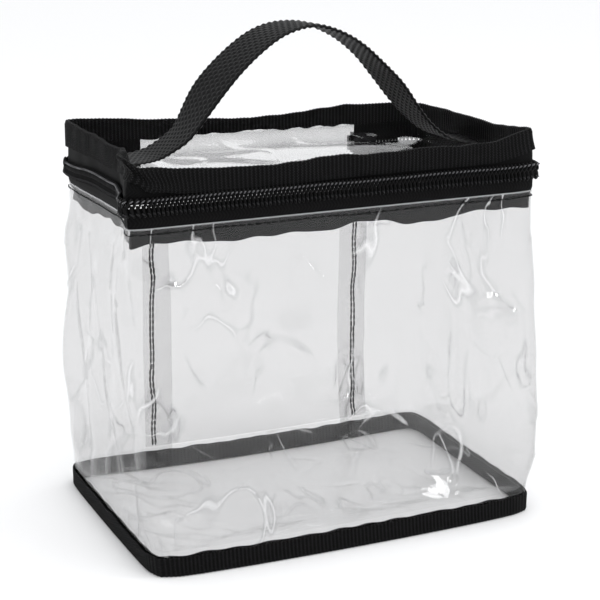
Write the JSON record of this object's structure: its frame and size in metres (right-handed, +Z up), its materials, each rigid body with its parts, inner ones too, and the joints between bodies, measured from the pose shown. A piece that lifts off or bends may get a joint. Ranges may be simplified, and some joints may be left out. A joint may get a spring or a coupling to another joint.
{
  "type": "clear makeup bag",
  "caption": "Clear soft box bag with black ribbon binding, a zip round three sides, a hinged lid and a webbing handle.",
  "frame": {"origin": "middle of the base, on the surface that the bag stands on", "axes": "+X to the bag's right, +Y from the front to the hinge side, +Z up"},
  "size_m": [0.1694, 0.114, 0.1995],
  "materials": {
    "clear_sheet": "soft clear vinyl, glossy",
    "black_ribbon": "ribbed ribbon",
    "black_tape": "herringbone zip tape",
    "black_coil": "nylon coil",
    "black_thread": "polyester thread",
    "black_webbing": "basket weave webbing",
    "black_metal": "gloss black paint"
  },
  "bodies": {
    "bag": {"wall_wrap_panel": "clear_sheet", "back_panel": "clear_sheet", "bottom_panel": "clear_sheet", "base_binding": "black_ribbon", "base_binding_stitching": "black_thread", "back_seam_thread_left": "black_thread", "back_seam_thread_right": "black_thread", "wall_topstitching": "black_thread", "zip_tape_lower": "black_tape", "zip_coil_lower": "black_coil", "zip_coil_stitching_lower": "black_thread", "zip_tail_tape_left": "black_tape", "zip_tail_tape_right": "black_tape", "zip_tail_coil_upper_left": "black_coil", "zip_tail_coil_lower_left": "black_coil", "zip_tail_coil_upper_right": "black_coil", "zip_tail_coil_lower_right": "black_coil", "zip_stop_left": "black_metal", "zip_stop_right": "black_metal"},
    "lid": {"lid_panel": "clear_sheet", "lid_binding": "black_ribbon", "lid_binding_stitching": "black_thread", "lid_hinge_flap": "clear_sheet", "zip_tape_upper": "black_tape", "zip_coil_upper": "black_coil", "zip_coil_stitching_upper": "black_thread", "handle_end_left": "black_webbing", "handle_end_right": "black_webbing"},
    "handle": {"handle_strap": "black_webbing"},
    "slider": {"slider_body": "black_metal"},
    "pull": {"puller_tab": "black_metal"}
  },
  "joints": [
    {"name": "lid_hinge", "type": "hinge", "parent": "bag", "child": "lid", "pos_m": [0, 0.05325, 0.1399], "axis": [-1, 0, 0], "range_deg": [0, 120]},
    {"name": "handle_swing", "type": "hinge", "parent": "lid", "child": "handle", "pos_m": [0, 0, 0.1624], "axis": [1, 0, 0], "range_deg": [-75, 75], "stiffness_Nm_per_rad": 0.02},
    {"name": "slider_travel", "type": "slide", "parent": "bag", "child": "slider", "axis": [1, 0, 0], "range_m": [0, 0.009]},
    {"name": "pull_swing", "type": "hinge", "parent": "slider", "child": "pull", "pos_m": [0.057, 0.05725, 0.1399], "axis": [1, 0, 0], "range_deg": [0, 165]}
  ]
}
